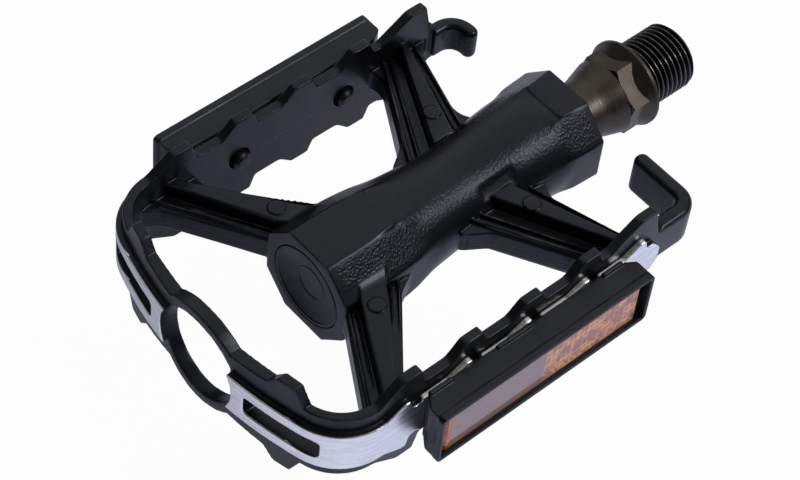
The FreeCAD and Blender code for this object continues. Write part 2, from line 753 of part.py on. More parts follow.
# Spindle: thread, flange, hexagon, neck, inner race and outer thread.
race_gap = "sqrt(2) * (ball_radius + race_room)"
shaft = "inner_pitch - ball_radius - shaft_room"
spindle_core = turned(
    "spindle_core",
    [
        ("thread_length", "0"),
        ("thread_length", "thread_radius - thread_chamfer"),
        ("thread_length - thread_chamfer", "thread_radius"),
        ("0", "thread_radius"),
        ("0", "flange_radius - 0.3"),
        ("-0.3", "flange_radius"),
        ("-flange_rim", "flange_radius"),
        ("-(flange_rim + flange_cone)", "hex_across / 2"),
        ("-hex_at", "hex_across / 2"),
        ("-hex_at", "flare_radius"),
        ("-(hex_at + 0.6 * neck_flare)", "neck_radius + 0.36 * (flare_radius - neck_radius)"),
        ("-(hex_at + 0.82 * neck_flare)", "neck_radius + 0.1 * (flare_radius - neck_radius)"),
        ("-(hex_at + neck_flare)", "neck_radius"),
        ("-(inner_ball_at + inner_pitch - neck_radius - %s)" % race_gap, "neck_radius"),
        ("-(inner_ball_at + ball_radius + shaft_room - %s)" % race_gap, shaft),
        ("-(outer_ball_at - 4)", "shaft_tip_radius"),
        ("-(outer_ball_at - 4)", "tip_thread_radius"),
        ("-(tip_end_at - 0.6)", "tip_thread_radius"),
        ("-tip_end_at", "tip_thread_radius - 0.6"),
        ("-tip_end_at", "0"),
    ],
)
hexagon = doc.addObject("Part::Prism", "hexagon")
hexagon.Polygon = 6
hexagon.setExpression("Circumradius", bound("hex_across / sqrt(3)"))
hexagon.setExpression("Height", bound("hex_at - flange_rim"))
hex_spin = Rotation(Vector(0, 1, 0), size("hex_turn") - 90)
hexagon.Placement = Placement(
    Vector(0, -size("flange_rim"), 0), hex_spin.multiply(Rotation(Vector(0, 0, 1), Vector(0, -1, 0)))
)
hex_blank = turned(
    "hex_blank",
    [
        ("-flange_rim", "0"),
        ("-flange_rim", "flange_radius"),
        ("-(hex_at - 0.7)", "flange_radius"),
        ("-hex_at", "hex_across / 2 + 0.25"),
        ("-hex_at", "0"),
    ],
)
hex_part = shared("hex_part", [hexagon, hex_blank])
spindle_round = joined("spindle_round", [spindle_core, hex_part])
keyway = doc.addObject("Part::Box", "keyway")
keyway.setExpression("Length", bound("keyway_width"))
keyway.setExpression("Width", bound("tip_end_at - outer_ball_at"))
keyway.setExpression("Height", bound("keyway_depth + 1"))
keyway_floor = size("tip_thread_radius - keyway_depth")
keyway_corner = Vector(-size("keyway_width") / 2, -size("tip_end_at"), keyway_floor)
keyway.Placement = Placement(keyway_corner, Rotation())
spindle = cut_from("spindle", spindle_round, keyway)

# Bearings: cups pressed in the barrel, an adjusting cone, a keyed washer and a nut.
inner_cup = turned(
    "inner_cup",
    [
        ("-(inner_ball_at - cup_lip)", "inner_pitch + ball_radius + race_room"),
        ("-(inner_ball_at - cup_lip)", "inner_pitch + ball_radius + race_room + cup_wall"),
        ("-(inner_ball_at + cup_floor)", "inner_pitch + ball_radius + race_room + cup_wall"),
        ("-(inner_ball_at + cup_floor)", "inner_pitch - 0.3"),
        ("-(inner_ball_at + 0.3 + %s)" % race_gap, "inner_pitch - 0.3"),
        (
            "-(inner_ball_at - ball_radius - race_room + %s)" % race_gap,
            "inner_pitch + ball_radius + race_room",
        ),
    ],
)
outer_cup = turned(
    "outer_cup",
    [
        ("-(outer_ball_at + cup_lip)", "outer_pitch + ball_radius + race_room"),
        ("-(outer_ball_at + cup_lip)", "cap_radius + cap_fit"),
        ("-(outer_ball_at - cup_floor)", "cap_radius + cap_fit"),
        ("-(outer_ball_at - cup_floor)", "outer_pitch - 0.3"),
        ("-(outer_ball_at - 0.3 - %s)" % race_gap, "outer_pitch - 0.3"),
        (
            "-(outer_ball_at + ball_radius + race_room - %s)" % race_gap,
            "outer_pitch + ball_radius + race_room",
        ),
    ],
)
cone_race = "-(outer_ball_at - outer_pitch + %s + {0})" % race_gap
cone_back = "-(outer_ball_at - outer_pitch + %s + tip_thread_radius + 0.5 + cone_length)" % race_gap
outer_cone = turned(
    "outer_cone",
    [
        (cone_race.format("tip_thread_radius + 0.5"), "tip_thread_radius + screw_fit"),
        (cone_race.format("tip_thread_radius + 0.5"), "tip_thread_radius + 0.5"),
        (cone_race.format("cone_radius"), "cone_radius"),
        (cone_back, "cone_radius"),
        (cone_back, "tip_thread_radius + screw_fit"),
    ],
)
washer_ring = turned(
    "washer_ring",
    [
        (cone_back, "tip_thread_radius + screw_fit"),
        (cone_back, "washer_radius"),
        (cone_back + " - washer_thick", "washer_radius"),
        (cone_back + " - washer_thick", "tip_thread_radius + screw_fit"),
    ],
)
washer_tab = doc.addObject("Part::Box", "washer_tab")
washer_tab.setExpression("Length", bound("keyway_width - 2 * screw_fit"))
washer_tab.setExpression("Width", bound("washer_thick"))
washer_tab.setExpression("Height", bound("keyway_depth + 0.6"))
washer_tab.Placement = Placement(
    Vector(
        -size("keyway_width - 2 * screw_fit") / 2,
        size(cone_back + " - washer_thick"),
        size("tip_thread_radius - keyway_depth + screw_fit"),
    ),
    Rotation(),
)
lock_washer = joined("lock_washer", [washer_ring, washer_tab])
nut_blank = doc.addObject("Part::Prism", "nut_blank")
nut_blank.Polygon = 6
nut_blank.setExpression("Circumradius", bound("nut_across / sqrt(3)"))
nut_blank.setExpression("Height", bound("nut_thick"))
nut_face = size(cone_back + " - washer_thick")
nut_blank.Placement = Placement(Vector(0, nut_face, 0), Rotation(Vector(0, 0, 1), Vector(0, -1, 0)))
nut_start = Vector(0, nut_face + 1, 0)
nut_bore = rod("nut_bore", "tip_thread_radius + screw_fit", "nut_thick + 2", nut_start, Vector(0, -1, 0))
lock_nut = cut_from("lock_nut", nut_blank, nut_bore)


def ball_ring(name, pitch, station, count):
    """One group of separate balls, equally spaced round the spindle."""
    balls = []
    for number in range(count):
        angle = 2 * math.pi * number / count
        ball = doc.addObject("Part::Sphere", "%s_ball_%d" % (name, number))
        ball.setExpression("Radius", bound("ball_radius"))
        place = Vector(pitch * math.sin(angle), -station, pitch * math.cos(angle))
        ball.Placement = Placement(place, Rotation())
        balls.append(ball)
    group = doc.addObject("Part::Compound", name)
    group.Links = balls
    doc.recompute()
    return group


inner_balls = ball_ring("inner_balls", size("inner_pitch"), size("inner_ball_at"), int(size("inner_count")))
outer_balls = ball_ring("outer_balls", size("outer_pitch"), size("outer_ball_at"), int(size("outer_count")))

# Seal at the crank end and dished cap at the outer end of the barrel.
seal_face = "-(barrel_in_at + seal_recess)"
seal_back = "-(barrel_in_at + seal_recess + seal_length)"
inner_seal = turned(
    "inner_seal",
    [
        (seal_face, "neck_radius + seal_fit"),
        (seal_face, "inner_pitch + ball_radius + race_room + cup_wall"),
        (seal_back, "inner_pitch + ball_radius + race_room + cup_wall"),
        (seal_back, "neck_radius + seal_fit + 1.2"),
        (seal_face + " - 0.9", "neck_radius + seal_fit + 1.2"),
        (seal_face + " - 0.9", "neck_radius + seal_fit"),
    ],
)
cap_face = "-barrel_out_at"
dust_cap = turned(
    "dust_cap",
    [
        (cap_face + " + cap_dish", "0"),
        (cap_face + " + 0.8 * cap_dish", "0.45 * cap_radius"),
        (cap_face + " + 0.25 * cap_dish", "cap_radius - cap_rim - 0.4"),
        (cap_face, "cap_radius - cap_rim"),
        (cap_face, "cap_radius"),
        (cap_face + " + cap_depth", "cap_radius"),
        (cap_face + " + cap_depth", "cap_radius - 0.9"),
        (cap_face + " + cap_dish + cap_floor", "cap_radius - 0.9"),
        (cap_face + " + cap_dish + cap_floor", "0"),
    ],
)

# Reflectors: a tray with two studs through the plate, and a lens in the tray.
back = plate + size("band_out")
front = back + size("reflector_depth")
half_long = size("reflector_length") / 2
middle = -size("reflector_centre_at")
frame_back = front - size("rim_depth")


def reflector(side_name, side):
    """Housing and lens on one side of the cage."""
    tag = side_name + "_reflector_"
    tub_loop = rounded_loop(
        [
            (side * back, middle - half_long + 2.4, 0.8),
            (side * (frame_back - 2.3), middle - half_long + 0.25, 0.8),
            (side * frame_back, middle - half_long + 0.25, 0),
            (side * frame_back, middle + half_long - 0.2, 0),
            (side * (back + 1.9), middle + half_long - 0.2, 0.6),
            (side * back, middle + half_long - 3.2, 0.8),
        ]
    )
    tub = slab(tag + "tub", [tub_loop], "reflector_half_high - rim_step")
    high = size("reflector_half_high")
    frame_loop = rounded_loop(
        [
            (middle - half_long, -high, 1.0),
            (middle + half_long, -high, 1.0),
            (middle + half_long, high, 1.0),
            (middle - half_long, high, 1.0),
        ]
    )
    outward = Vector(side, 0, 0)
    inward = Vector(-side, 0, 0)
    frame = prism(tag + "frame", [frame_loop], facing_x, outward * frame_back, outward, "rim_depth")
    pieces = [tub, frame]
    for number, (start, end) in enumerate(((2.2, 7.7), (18.75, 27.4), (45.5, 50.6))):
        strip_loop = rounded_loop(
            [
                (side * back, middle - half_long + start, 0),
                (side * (back + 0.9), middle - half_long + start, 0),
                (side * (back + 0.9), middle - half_long + end, 0),
                (side * back, middle - half_long + end, 0),
            ]
        )
        pieces.append(slab(tag + "lip_%d" % number, [strip_loop], "reflector_half_high + 0.25"))
    for number, station in enumerate(stud_stations):
        start = Vector(side * (back + 1.0), station, 0)
        length = "band_out + wall_thick + stud_out + 1.0 - 0.7"
        pieces.append(rod(tag + "stud_%d" % number, "stud_radius", length, start, inward))
        dome = doc.addObject("Part::Cone", tag + "dome_%d" % number)
        dome.setExpression("Radius1", bound("stud_radius"))
        dome.setExpression("Radius2", bound("stud_radius - 0.7"))
        dome.Height = 0.7
        dome.Placement = Placement(start + inward * size(length), Rotation(Vector(0, 0, 1), inward))
        pieces.append(dome)
    shell = joined(tag + "shell", pieces)
    inset = size("rim_wall")
    tray_loop = rounded_loop(
        [
            (middle - half_long + inset, -high + inset, 0.5),
            (middle + half_long - inset, -high + inset, 0.5),
            (middle + half_long - inset, high - inset, 0.5),
            (middle - half_long + inset, high - inset, 0.5),
        ]
    )
    tray_depth = "lens_recess + lens_thick"
    tray_start = outward * (front + 1)
    tray = prism(tag + "tray", [tray_loop], facing_x, tray_start, inward, tray_depth + " + 1")
    housing = cut_from(tag + "housing", shell, tray)
    lens_back = front - size(tray_depth)
    lens_front = front - size("lens_recess")
    room = inset + size("lens_fit")
    bevel = size("lens_bevel")
    lens_loop = rounded_loop(
        [
            (side * lens_back, middle - half_long + room, 0),
            (side * (lens_front - 1.2), middle - half_long + room, 0),
            (side * lens_front, middle - half_long + room + bevel, 0),
            (side * lens_front, middle + half_long - room - bevel, 0),
            (side * (lens_front - 1.2), middle + half_long - room, 0),
            (side * lens_back, middle + half_long - room, 0),
        ]
    )
    lens = slab(tag + "lens", [lens_loop], "reflector_half_high - rim_wall - lens_fit")
    return housing, lens


front_housing, front_lens = reflector("front", 1)
rear_housing, rear_lens = reflector("rear", -1)

nodes = [
    pedal_body,
    spindle,
    inner_cup,
    outer_cup,
    outer_cone,
    lock_washer,
    lock_nut,
    inner_balls,
    outer_balls,
    inner_seal,
    dust_cap,
    front_housing,
    front_lens,
    rear_housing,
    rear_lens,
]
doc.recompute()
for item in doc.Objects:
    if "Invalid" in item.State or "Error" in item.State:
        raise RuntimeError("object in error: " + item.Name)
os.makedirs("parts", exist_ok=True)
for node in nodes:
    node.Label = node.Name
    shape = node.Shape
    if shape.isNull() or not shape.isValid():
        raise RuntimeError("bad shape: " + node.Name)
    solids = len(shape.Solids)
    print(node.Name, "solids", solids, "volume", round(shape.Volume, 1), "faces", len(shape.Faces))
    shape.exportStep("parts/" + node.Name + ".step")
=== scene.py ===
# %% [markdown]
# # Dressing a bicycle pedal
# The CAD model already gives every solid its size and place.
# This lesson adds what a camera sees: rounded casting edges, a cut thread, moulded prisms,
# paint, bare metal and plastic.
# Each piece is built in millimetres in the CAD frame and then scaled to metres in one place.
# The origin is on the spindle axis at the flange face, Y points to the crank and Z points up.

# %% Load the packed pedal
import math

import bmesh
import bpy
import numpy as np
from mathutils import Matrix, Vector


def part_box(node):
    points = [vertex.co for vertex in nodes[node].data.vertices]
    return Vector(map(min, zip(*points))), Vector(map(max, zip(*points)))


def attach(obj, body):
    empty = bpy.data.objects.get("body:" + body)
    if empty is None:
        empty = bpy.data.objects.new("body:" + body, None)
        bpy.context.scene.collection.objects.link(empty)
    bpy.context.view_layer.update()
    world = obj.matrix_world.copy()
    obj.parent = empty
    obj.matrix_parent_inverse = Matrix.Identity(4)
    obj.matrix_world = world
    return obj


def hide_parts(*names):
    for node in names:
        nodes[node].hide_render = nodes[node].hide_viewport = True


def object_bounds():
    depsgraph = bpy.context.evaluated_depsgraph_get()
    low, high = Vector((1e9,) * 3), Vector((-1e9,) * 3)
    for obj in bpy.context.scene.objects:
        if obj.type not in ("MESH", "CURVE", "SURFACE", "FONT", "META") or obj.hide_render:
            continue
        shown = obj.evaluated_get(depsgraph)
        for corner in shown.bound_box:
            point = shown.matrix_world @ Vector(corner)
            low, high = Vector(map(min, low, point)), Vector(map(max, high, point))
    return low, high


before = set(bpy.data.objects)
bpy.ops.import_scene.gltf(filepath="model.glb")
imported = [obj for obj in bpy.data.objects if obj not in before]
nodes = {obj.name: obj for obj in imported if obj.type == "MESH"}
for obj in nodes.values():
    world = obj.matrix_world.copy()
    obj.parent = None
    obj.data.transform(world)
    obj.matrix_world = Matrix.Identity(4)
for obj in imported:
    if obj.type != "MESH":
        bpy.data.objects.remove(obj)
cad_box = [[float(v) for v in corner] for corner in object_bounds()]
MM = 0.001
print("CAD box in millimetres:", [[round(v / MM, 2) for v in corner] for corner in cad_box])
print("nodes:", sorted(nodes))

# %% [markdown]
# ## A short way to write materials
# A finish is a small tree of nodes that starts from Object coordinates,
# so a pattern stays fixed to its piece.
# Writing every node and link by hand hides the idea,
# so one small class gives each kind of node a short method.
# Values that are the same all over a surface are set on the shader's own sockets.

# %% The recipe class for procedural finishes
class Recipe:
    """A material with a Principled shader. Every method returns the socket that carries its result."""

    def __init__(self, name, **values):
        self.material = bpy.data.materials.new(name)
        self.material.use_nodes = True
        self.tree = self.material.node_tree
        self.shader = self.tree.nodes["Principled BSDF"]
        for label, value in values.items():
            self.shader.inputs[label.replace("_", " ")].default_value = value
        self.place = self.add("ShaderNodeTexCoord").outputs["Object"]

    def add(self, kind, inputs=(), **settings):
        made = self.tree.nodes.new(kind)
        for label, value in settings.items():
            setattr(made, label, value)
        for label, value in dict(inputs).items():
            if isinstance(value, bpy.types.NodeSocket):
                self.tree.links.new(value, made.inputs[label])
            else:
                made.inputs[label].default_value = value
        return made

    def math(self, operation, *values, clamp=False):
        made = self.add("ShaderNodeMath", enumerate(values), operation=operation, use_clamp=clamp)
        return made.outputs[0]

    def length(self, first, second):
        squares = [self.math("POWER", side, 2.0) for side in (first, second)]
        return self.math("SQRT", self.math("ADD", *squares))

    def axes(self):
        parts = self.add("ShaderNodeSeparateXYZ", {"Vector": self.place}).outputs
        return parts["X"], parts["Y"], parts["Z"]

    def stretched(self, x, y, z):
        made = self.add("ShaderNodeVectorMath", {0: self.place, 1: (x, y, z)}, operation="MULTIPLY")
        return made.outputs["Vector"]

    def noise(self, scale, detail=2.0, rough=0.5, vector=None):
        inputs = {"Vector": vector or self.place, "Scale": scale, "Detail": detail, "Roughness": rough}
        return self.add("ShaderNodeTexNoise", inputs).outputs["Fac"]

    def cells(self, scale):
        inputs = {"Vector": self.place, "Scale": scale}
        return self.add("ShaderNodeTexVoronoi", inputs).outputs["Distance"]

    def step(self, value, low, high, at_low=0.0, at_high=1.0):
        inputs = {"Value": value, "From Min": low, "From Max": high, "To Min": at_low, "To Max": at_high}
        return self.add("ShaderNodeMapRange", inputs, interpolation_type="SMOOTHSTEP").outputs["Result"]

    def colour(self, factor, first, second):
        made = self.add("ShaderNodeMix", data_type="RGBA")
        for index, value in ((0, factor), (6, first), (7, second)):
            if isinstance(value, bpy.types.NodeSocket):
                self.tree.links.new(value, made.inputs[index])
            elif index == 0:
                made.inputs[index].default_value = value
            else:
                made.inputs[index].default_value = (*value, 1.0)
        return made.outputs[2]

    def bump(self, height, distance, strength=1.0, normal=None):
        inputs = {"Height": height, "Distance": distance, "Strength": strength}
        if normal is not None:
            inputs["Normal"] = normal
        return self.add("ShaderNodeBump", inputs).outputs["Normal"]

    def feed(self, **sockets):
        for label, socket in sockets.items():
            self.tree.links.new(socket, self.shader.inputs[label.replace("_", " ")])
        return self.material


print("recipe methods:", [name for name in vars(Recipe) if not name.startswith("_")])

# %% [markdown]
# ## Helpers that turn arrays into meshes
# A shape worked out with numpy is a grid of points, with one row for each step of the first parameter.
# Neighbouring points make the faces, so the faces follow from the grid's size alone.
# A round piece wraps its columns and closes each end with one pole point.

# %% Grids, placed meshes and revolved surfaces
def grid_faces(rows, columns, wrap):
    """Quads of a grid: each joins a point, its right neighbour and the two points of the next row."""
    index = np.arange(rows * columns).reshape(rows, columns)
    right = np.roll(index, -1, axis=1)
    if not wrap:
        index, right = index[:, :-1], right[:, :-1]
    quads = np.stack([index[:-1], right[:-1], right[1:], index[1:]], axis=-1)
    return quads.reshape(-1, 4)


def put_piece(name, points, faces, body, slot, *replaced, sharp=35.0):
    """One object from points in millimetres, smooth apart from edges sharper than an angle in degrees."""
    mesh = bpy.data.meshes.new(name)
    mesh.from_pydata((np.asarray(points) * MM).tolist(), [], faces)
    return place_mesh(name, mesh, body, slot, *replaced, sharp=sharp)


def place_mesh(name, mesh, body, slot, *replaced, sharp=35.0):
    """An object at the origin that rides on a body and stands for CAD nodes; the slot argument is not used.
    """
    mesh.shade_smooth()
    mesh.set_sharp_from_angle(angle=math.radians(sharp))
    piece = bpy.data.objects.new(name, mesh)
    bpy.context.scene.collection.objects.link(piece)
    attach(piece, body)
    if replaced:
        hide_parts(*replaced)
    mesh.calc_loop_triangles()
    print(name, "has", len(mesh.loop_triangles), "triangles")
    return piece


def revolved(name, stations, radii, angles, body, slot, *replaced, sharp=35.0):
    """Closed surface round the Y axis: x = r sin(angle), z = r cos(angle), with a pole at each end."""
    rows, columns = radii.shape
    across = np.sin(angles)[None, :] * radii
    height = np.cos(angles)[None, :] * radii
    along = np.broadcast_to(stations[:, None], radii.shape)
    points = np.stack([across, along, height], axis=-1).reshape(-1, 3)
    poles = np.array([[0, stations[0], 0], [0, stations[-1], 0]])
    faces = grid_faces(rows, columns, wrap=True).tolist()
    first = np.arange(columns)
    last = first + (rows - 1) * columns
    start = np.full(columns, rows * columns)
    faces += np.stack([start, np.roll(first, -1), first], axis=-1).tolist()
    faces += np.stack([start + 1, last, np.roll(last, -1)], axis=-1).tolist()
    if stations[-1] < stations[0]:
        faces = [face[::-1] for face in faces]
    return put_piece(name, np.vstack([points, poles]), faces, body, slot, *replaced, sharp=sharp)


# %% [markdown]
# ## The cast body
# The real body is one aluminium die casting: barrel, arms, side plates, bowed end and hooks.
# No edge on a casting is sharp, because metal has to fill the mould and leave it again.
# A bevel on every CAD edge would be hard to control where dozens of ribs meet.
# Instead a copy of the CAD mesh is cut into small equal cells and relaxed a little.
# That rounds outer edges and fills inner corners by about the same radius, as a casting does.
# The cells are then thinned, which keeps points where the surface bends.

# %% Resample, relax and thin a copy of a CAD mesh
def evaluated(piece):
    graph = bpy.context.evaluated_depsgraph_get()
    return bpy.data.meshes.new_from_object(piece.evaluated_get(graph))


def rounded_copy(node, cell, rounds, most, *shapers):
    """Welded copy of a node's mesh, rebuilt from cubic cells of a size in millimetres and then shaped."""
    mesh = nodes[node].data.copy()
    welded = bmesh.new()
    welded.from_mesh(mesh)
    bmesh.ops.remove_doubles(welded, verts=welded.verts, dist=1e-7)
    welded.to_mesh(mesh)
    welded.free()
    mesh.materials.clear()
    helper = bpy.data.objects.new("helper", mesh)
    bpy.context.scene.collection.objects.link(helper)
    cells = helper.modifiers.new("cells", "REMESH")
    cells.mode = "VOXEL"
    cells.voxel_size = cell * MM
    relax = helper.modifiers.new("relax", "SMOOTH")
    relax.factor = 0.5
    relax.iterations = rounds
    helper.data = evaluated(helper)
    helper.modifiers.clear()
    for shaper in shapers:
        shaper(helper.data)
    count = 2 * len(helper.data.polygons)
    thin = helper.modifiers.new("thin", "DECIMATE")
    thin.ratio = min(1.0, most / count)
    result = evaluated(helper)
    result.name = node + "_rounded"
    bpy.data.objects.remove(helper)
    print(node, "cells:", count, "triangles, thinned to", len(result.polygons), "faces")
    return result


# %% [markdown]
# Between its eight-sided ends the real barrel is drawn in to a smooth round.
# The CAD loft leaves soft flats there, so the middle of the copy is eased towards a circle.
# Only points that face away from the axis and lie close to that circle move,
# by about half a millimetre at most.
# The arms and their roots, the bore and the raised flats at the ends stay where they are.

# %% Ease the waist of the barrel towards a circle
WAIST_STATIONS = np.array([-66.5, -63.6, -60.7, -55.6, -51.7, -48.4, -44.8, -40.5, -36.3, -31.5, -26.4])
WAIST_RADII = np.array([10.85, 10.65, 10.45, 10.0, 9.62, 9.52, 9.66, 10.06, 10.54, 10.97, 11.2])
ROOT_STATION = -43.2


def soft_step(value, low, high):
    """0 below low, 1 above high and 3t^2 - 2t^3 between them."""
    share = np.clip((value - low) / (high - low), 0, 1)
    return share * share * (3 - 2 * share)


def points_of(mesh):
    """Points in millimetres and normals of a mesh, one row each."""
    points = np.empty(3 * len(mesh.vertices))
    normals = np.empty(3 * len(mesh.vertices))
    mesh.vertices.foreach_get("co", points)
    mesh.vertex_normals.foreach_get("vector", normals)
    return points.reshape(-1, 3) / MM, normals.reshape(-1, 3)


def eased_waist(mesh):
    """Moves a point along its radius by (circle - radius), weighed by station, facing and nearness."""
    points, normals = points_of(mesh)
    radius = np.hypot(points[:, 0], points[:, 2])
    radial = points * [1, 0, 1] / np.maximum(radius, 1e-6)[:, None]
    along = points[:, 1]
    gap = np.interp(along, WAIST_STATIONS, WAIST_RADII) - radius
    weight = soft_step(along, -66.0, -59.0) * soft_step(-along, 24.4, 29.0)
    weight *= soft_step((normals * radial).sum(axis=1), 0.7, 0.9) * soft_step(-np.abs(gap), -1.3, -0.6)
    out, up = np.abs(points[:, 0]), np.abs(points[:, 2])
    near_root = soft_step(-np.abs(along - ROOT_STATION), -5.0, -3.2)
    weight *= 1 - near_root * soft_step(out, 5.4, 6.8) * soft_step(up, 4.2, 5.4)
    mesh.vertices.foreach_set("co", ((points + radial * (gap * weight)[:, None]) * MM).ravel())
    mesh.update()
    print("largest move of the waist in millimetres:", round(float(np.abs(gap * weight).max()), 2))


# %% The body, rounded, eased and thinned
BODY_CELL, BODY_ROUNDS, BODY_TRIANGLES = 0.16, 14, 190000
body_mesh = rounded_copy("pedal_body", BODY_CELL, BODY_ROUNDS, BODY_TRIANGLES, eased_waist)
body_piece = place_mesh("cast_body", body_mesh, "pedal", "cast_body", "pedal_body", sharp=180.0)

# %% [markdown]
# Paint is thin on sharp outer edges, and handling rubs it there first; the grey laid on those edges is
# partly that wear and partly a painted highlight.
# How sharply a surface bends can be read from the mesh: along an edge, the change of the normal
# divided by the length is the curvature, positive where the surface bulges.
# Its average at each point becomes an attribute that the paint can read.

# %% Measure how sharply the casting bends
def bend_attribute(mesh, name):
    """Mean over a point's edges of (change of normal) . (edge) / length squared, in 1/mm, from 0 up."""
    count = len(mesh.vertices)
    points, normals = points_of(mesh)
    ends = np.empty(2 * len(mesh.edges), dtype=np.int64)
    mesh.edges.foreach_get("vertices", ends)
    ends = ends.reshape(-1, 2)
    step = points[ends[:, 1]] - points[ends[:, 0]]
    turn = normals[ends[:, 1]] - normals[ends[:, 0]]
    bend = (step * turn).sum(axis=1) / np.maximum((step ** 2).sum(axis=1), 1e-4)
    total = np.bincount(ends.ravel(), weights=np.repeat(bend, 2), minlength=count)
    number = np.bincount(ends.ravel(), minlength=count)
    value = np.clip(total / np.maximum(number, 1), 0, None)
    mesh.attributes.new(name, "FLOAT", "POINT").data.foreach_set("value", value.astype(np.float32))
    print(name, "median", round(float(np.median(value)), 3), "highest", round(float(value.max()), 2))


bend_attribute(body_piece.data, "bend")

# %% [markdown]
# ## Black paint and the bright band
# The casting is painted satin black. The mid-height band that runs round the cage is then ground bright.
# The band stands 1.3 mm proud of the wall, so the bright face can be found from the plan shape alone:
# straight sides, two corner arcs and a bowed end.

# %% Find the ground band from the plan shape
paint = Recipe("painted_casting", Specular_IOR_Level=0.28, Specular_Tint=(0.78, 0.83, 1.0, 1.0))
x, y, z = paint.axes()
across = paint.math("ABSOLUTE", x)
corner_x, corner_y, corner_radius = 22.9 * MM, -96.26 * MM, 12.3 * MM
bow_y, bow_radius = -20.45 * MM, 91.3 * MM
past_x = paint.math("MAXIMUM", paint.math("SUBTRACT", across, corner_x), 0.0)
past_y = paint.math("MAXIMUM", paint.math("SUBTRACT", corner_y, y), 0.0)
corner_proud = paint.math("SUBTRACT", paint.length(past_x, past_y), corner_radius)
bow_proud = paint.math("SUBTRACT", paint.length(x, paint.math("SUBTRACT", y, bow_y)), bow_radius)
at_corner = paint.math("GREATER_THAN", across, corner_x)
proud = paint.math(
    "ADD",
    paint.math("MULTIPLY", at_corner, corner_proud),
    paint.math("MULTIPLY", paint.math("SUBTRACT", 1.0, at_corner), bow_proud),
)
on_side = paint.math(
    "MULTIPLY",
    paint.math("GREATER_THAN", across, 33.6 * MM),
    paint.math("MULTIPLY", paint.step(y, -88.0 * MM, -86.0 * MM), paint.step(z, 4.6 * MM, 5.0 * MM)),
)
ground_from = paint.step(on_side, 0.0, 1.0, -0.42 * MM, -1.12 * MM)
bright = paint.step(paint.math("SUBTRACT", proud, ground_from), 0.0, 0.26 * MM)
painted = paint.math("SUBTRACT", 1.0, bright)
print("corner radius of the band in millimetres:", round(corner_radius / MM, 2))

# %% [markdown]
# The mould was etched on the barrel only: its sloped flats carry a fine pebble grain
# and its waist carries soft leather-like waves.
# The angle round the spindle axis and the station along it tell these regions apart.

# %% Find the grained regions of the barrel
angle = paint.math("ARCTAN2", across, paint.math("ABSOLUTE", z))
on_barrel = paint.math(
    "MULTIPLY",
    paint.step(across, 12.6 * MM, 12.0 * MM),
    paint.math("MULTIPLY", paint.step(y, -83.6 * MM, -82.4 * MM), paint.step(y, -18.8 * MM, -20.0 * MM)),
)
sloped = paint.math("MULTIPLY", paint.step(angle, 0.45, 0.56), paint.step(angle, 1.14, 1.04))
beside_arm = paint.math("MULTIPLY", paint.step(y, -72.0 * MM, -74.0 * MM), paint.step(angle, 0.86, 0.96))
clear_of_arm = paint.math("SUBTRACT", sloped, beside_arm, clamp=True)
outer_slope = paint.math("MULTIPLY", paint.step(y, -59.0 * MM, -66.0 * MM), clear_of_arm)
crank_slope = paint.math("MULTIPLY", paint.step(y, -33.5 * MM, -27.0 * MM), sloped)
pebbled = paint.math("MULTIPLY", on_barrel, paint.math("ADD", outer_slope, crank_slope))
waved = paint.math(
    "MULTIPLY",
    paint.math("MULTIPLY", on_barrel, paint.step(angle, 1.0, 0.8)),
    paint.math("MULTIPLY", paint.step(y, -67.2 * MM, -66.0 * MM), paint.step(y, -25.4 * MM, -27.0 * MM)),
)
print("nodes for the masks:", len(paint.tree.nodes))

# %% [markdown]
# Relief this fine is cheaper as bump than as mesh.
# Each kind has its own pattern, its own region and its own height in metres.
# The two mould halves leave a parting line at mid height, and the ejector pins leave rings on the arms.

# %% Grain, waves, brush marks, parting line and ejector rings
peel = paint.noise(2600.0, 2.0)
grain = paint.cells(1800.0)
wave = paint.noise(1500.0, 2.0)
brushed = paint.noise(1.0, 3.0, 0.65, vector=paint.stretched(210.0, 210.0, 8000.0))
parting = paint.math("MULTIPLY", painted, paint.step(paint.math("ABSOLUTE", z), 0.16 * MM, 0.06 * MM))


def boss_ring(boss_x, boss_y, boss_radius):
    """Thin ring in plan round an ejector mark, the same on both sides of the barrel."""
    off_x = paint.math("SUBTRACT", across, boss_x * MM)
    off_y = paint.math("SUBTRACT", y, boss_y * MM)
    off = paint.math("SUBTRACT", paint.length(off_x, off_y), boss_radius * MM)
    return paint.step(paint.math("ABSOLUTE", off), 0.22 * MM, 0.06 * MM)


rings = paint.math("ADD", boss_ring(14.5, -80.0, 1.85), boss_ring(14.4, -40.75, 1.85))
parting = paint.math("MAXIMUM", parting, rings)
reliefs = (
    (peel, painted, 0.000012, 0.6),
    (grain, pebbled, 0.00006, 1.0),
    (wave, waved, 0.0001, 0.9),
    (brushed, bright, 0.00004, 0.8),
    (parting, -1.0, 0.0001, 1.0),
)
skin = None
for pattern, region, height, strength in reliefs:
    skin = paint.bump(paint.math("MULTIPLY", pattern, region), height, strength, skin)
print("kinds of relief:", len(reliefs))
